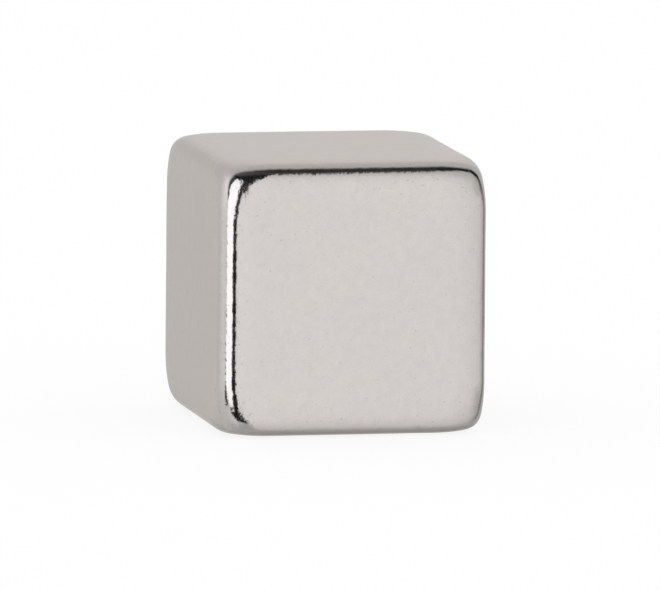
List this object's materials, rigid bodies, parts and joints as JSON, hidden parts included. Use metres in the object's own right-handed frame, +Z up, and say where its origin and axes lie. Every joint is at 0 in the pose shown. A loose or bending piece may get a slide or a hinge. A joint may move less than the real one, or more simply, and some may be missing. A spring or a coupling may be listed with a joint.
{
  "type": "block magnet",
  "caption": "Cube-shaped block magnet with tumbled edges and a satin nickel plating, held by or glued on any of its flat faces.",
  "frame": {"origin": "middle of the lower pole face, on which the block rests", "axes": "+Z up from the lower pole face to the upper one, -Y out of the broad face that the picture shows in front, -X out of the narrow-looking face at the picture's left"},
  "size_m": [0.01, 0.01, 0.01],
  "materials": {
    "nickel_plating": "satin nickel plating over a tumbled surface, faintly mottled"
  },
  "bodies": {
    "root": {"magnet_block": "nickel_plating"}
  },
  "joints": []
}
